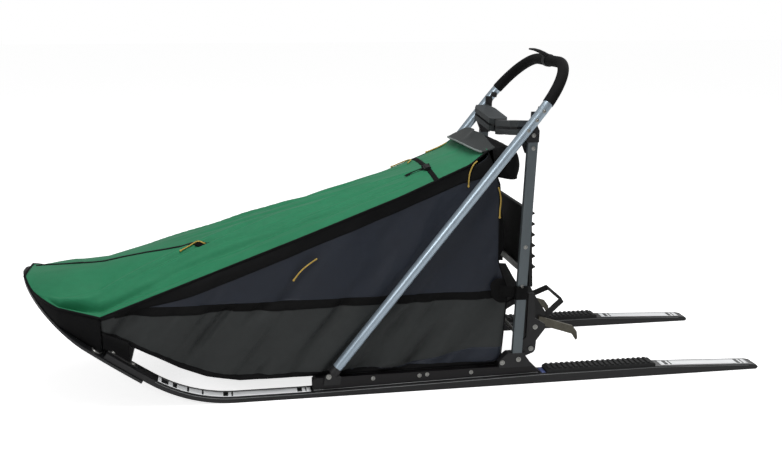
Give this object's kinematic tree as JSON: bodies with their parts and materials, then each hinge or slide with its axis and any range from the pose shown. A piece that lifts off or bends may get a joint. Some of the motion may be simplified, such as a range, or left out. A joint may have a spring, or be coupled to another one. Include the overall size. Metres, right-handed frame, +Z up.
{
  "type": "dog sled",
  "caption": "Mid-distance dog sled with curved runners, sloping driving bow, zipped basket bag, sprung claw brake and a fold-down drag mat.",
  "frame": {"origin": "on the ground under the middle of the sled's length, midway between the runners", "axes": "+Z up, +X towards the runners' rear ends, -X the way the dogs pull, +Y to the sled's right-hand side"},
  "size_m": [2.4, 0.616, 1.0637],
  "materials": {
    "runner": "extruded plastic-coated runner, satin black",
    "rail": "black anodised rail",
    "tread": "moulded black rubber",
    "black_plastic": "moulded black nylon",
    "black_sheet": "bent black polyethylene sheet",
    "grey_plastic": "moulded grey nylon",
    "silver_tube": "clear anodised aluminium tube",
    "grey_tube": "grey anodised aluminium bar",
    "steel": "plain steel",
    "black_metal": "black powder coat",
    "foam": "closed-cell foam grip",
    "navy_fabric": "dark navy coated nylon",
    "black_fabric": "black coated nylon",
    "green_fabric": "green coated nylon",
    "grey_fabric": "grey coated nylon"
  },
  "bodies": {
    "sled": {"runner_left": "runner", "rail_left": "rail", "footboard_left": "tread", "bow_foot_left": "black_plastic", "stanchion_left": "grey_tube", "stanchion_foot_left": "black_plastic", "stanchion_head_left": "black_plastic", "brace_arm_left": "grey_plastic", "bag_side_left": "navy_fabric", "runner_right": "runner", "rail_right": "rail", "footboard_right": "tread", "bow_foot_right": "black_plastic", "stanchion_right": "grey_tube", "stanchion_foot_right": "black_plastic", "stanchion_head_right": "black_plastic", "brace_arm_right": "grey_plastic", "bag_side_right": "navy_fabric", "front_cross_tube": "silver_tube", "middle_cross_tube": "silver_tube", "rear_cross_tube": "silver_tube", "basket_floor": "black_plastic", "floor_strip": "black_plastic", "brush_bow": "black_sheet", "driving_bow": "silver_tube", "grip_foam": "foam", "grip_horn": "black_plastic", "brace_core": "black_plastic", "bag_back": "black_fabric", "bag_cover": "green_fabric", "bag_nose": "green_fabric", "rear_pocket": "black_fabric", "hook_pouch": "black_fabric", "back_flap": "grey_fabric", "pivot_rod": "steel"},
    "brake": {"brake_frame": "black_metal", "brake_bow": "black_metal", "claw_left": "steel", "claw_right": "steel"},
    "drag_mat": {"mat_arm_left": "black_metal", "mat_arm_right": "black_metal", "mat_clamp_bar": "steel", "drag_mat": "tread"}
  },
  "joints": [
    {"name": "brake_pivot", "type": "hinge", "parent": "sled", "child": "brake", "pos_m": [0.402, 0, 0.11], "axis": [0, 1, 0], "range_deg": [0, 55], "stiffness_Nm_per_rad": 3, "springref_deg": -51.57},
    {"name": "mat_pivot", "type": "hinge", "parent": "sled", "child": "drag_mat", "pos_m": [0.402, 0, 0.11], "axis": [0, 1, 0], "range_deg": [0, 101]}
  ]
}
